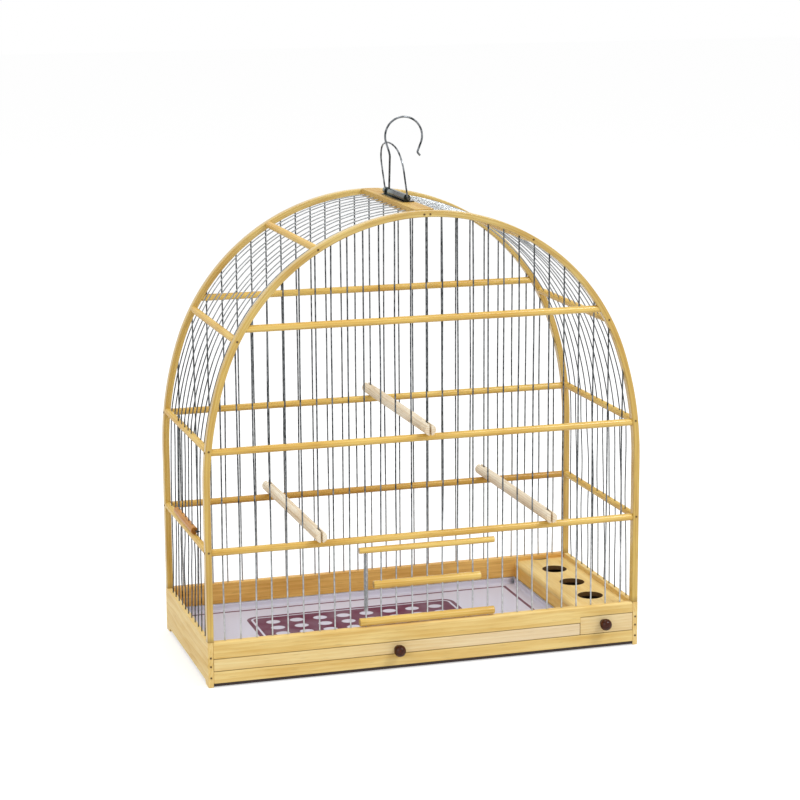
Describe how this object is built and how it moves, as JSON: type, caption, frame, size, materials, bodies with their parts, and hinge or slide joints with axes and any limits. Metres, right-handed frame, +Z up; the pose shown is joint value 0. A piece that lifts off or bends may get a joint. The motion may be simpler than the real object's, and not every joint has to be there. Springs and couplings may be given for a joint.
{
  "type": "bird cage",
  "caption": "Arched wooden bird cage with a wire front, sprung front door, lift-up side door, slide-out tray, seed drawer, removable perches and a hanging hook.",
  "frame": {"origin": "on the floor, midway between the two side panels and between the front and the back boards", "axes": "+X to the right seen from the front, +Y from the front to the back, +Z up"},
  "size_m": [0.502, 0.2522, 0.6006],
  "materials": {
    "pine_board": "satin varnish",
    "pine_rod": "satin varnish",
    "stained_rod": "satin varnish",
    "dark_hardboard": "tempered, bare",
    "raw_perch": "raw, unvarnished",
    "galvanised_wire": "galvanised",
    "hanger_wire": "galvanised",
    "dark_steel": "dull",
    "bracket_steel": "dark, worn",
    "pan_sheet": "mill",
    "liner_paper": "matt coated",
    "dark_knob": "gloss"
  },
  "bodies": {
    "cage": {"left_base_panel": "pine_board", "right_base_panel": "pine_board", "back_base_board": "pine_board", "front_top_strip": "pine_board", "front_bottom_rail": "pine_board", "drawer_runners": "pine_board", "seed_divider": "pine_board", "seed_bench": "pine_board", "front_arch": "pine_board", "rear_arch": "pine_board", "ridge_board": "pine_board", "base_bottom_sheet": "dark_hardboard", "front_rod_lower": "pine_rod", "front_rod_mid": "pine_rod", "front_rod_upper": "pine_rod", "rear_rod_lower": "pine_rod", "rear_rod_mid": "pine_rod", "rear_rod_upper": "pine_rod", "left_rail_lower": "pine_rod", "left_rail_mid": "pine_rod", "left_rail_upper": "pine_rod", "left_rail_shoulder": "pine_rod", "right_rail_lower": "pine_rod", "right_rail_mid": "pine_rod", "right_rail_upper": "pine_rod", "right_rail_shoulder": "pine_rod", "front_wires": "galvanised_wire", "rear_wires": "galvanised_wire", "left_side_wires": "galvanised_wire", "right_side_wires": "galvanised_wire", "left_roof_wires": "galvanised_wire", "right_roof_wires": "galvanised_wire", "frame_nails": "dark_steel", "hanger_bracket": "bracket_steel", "hanger_screws": "dark_steel"},
    "front_door": {"door_top_bar": "pine_rod", "door_mid_bar": "pine_rod", "door_bottom_bar": "pine_rod", "door_wires": "galvanised_wire", "door_spring": "galvanised_wire"},
    "side_door": {"side_door_bar": "stained_rod", "side_door_wires": "galvanised_wire", "side_door_loops": "galvanised_wire"},
    "tray": {"tray_front": "pine_board", "tray_pan": "pan_sheet", "tray_liner": "liner_paper", "tray_knob": "dark_knob"},
    "seed_drawer": {"seed_drawer_front": "pine_board", "seed_drawer_box": "pine_board", "seed_drawer_knob": "dark_knob"},
    "upper_perch": {"upper_perch": "raw_perch"},
    "lower_left_perch": {"lower_left_perch": "raw_perch"},
    "lower_right_perch": {"lower_right_perch": "raw_perch"},
    "hanger": {"hanger_pin": "hanger_wire", "hanger_bail": "hanger_wire", "hanger_hook": "hanger_wire"}
  },
  "joints": [
    {"name": "front_door_hinge", "type": "hinge", "parent": "cage", "child": "front_door", "pos_m": [-0.07068, -0.109, 0.098], "axis": [0, 0, -1], "range_deg": [0, 105], "stiffness_Nm_per_rad": 0.02, "springref_deg": -34.38},
    {"name": "side_door_lift", "type": "slide", "parent": "cage", "child": "side_door", "axis": [0.0168, 0, 0.9999], "range_m": [0, 0.09]},
    {"name": "tray_slide", "type": "slide", "parent": "cage", "child": "tray", "axis": [0, -1, 0], "range_m": [0, 0.2]},
    {"name": "seed_drawer_slide", "type": "slide", "parent": "cage", "child": "seed_drawer", "axis": [0, -1, 0], "range_m": [0, 0.19]},
    {"name": "upper_perch_lift", "type": "slide", "parent": "cage", "child": "upper_perch", "axis": [0, 0, 1], "range_m": [0, 0.105]},
    {"name": "lower_left_perch_lift", "type": "slide", "parent": "cage", "child": "lower_left_perch", "axis": [0, 0, 1], "range_m": [0, 0.085]},
    {"name": "lower_right_perch_lift", "type": "slide", "parent": "cage", "child": "lower_right_perch", "axis": [0, 0, 1], "range_m": [0, 0.085]},
    {"name": "hanger_fold", "type": "hinge", "parent": "cage", "child": "hanger", "pos_m": [0, 0, 0.514], "axis": [0, 1, 0], "range_deg": [-75, 60]}
  ]
}
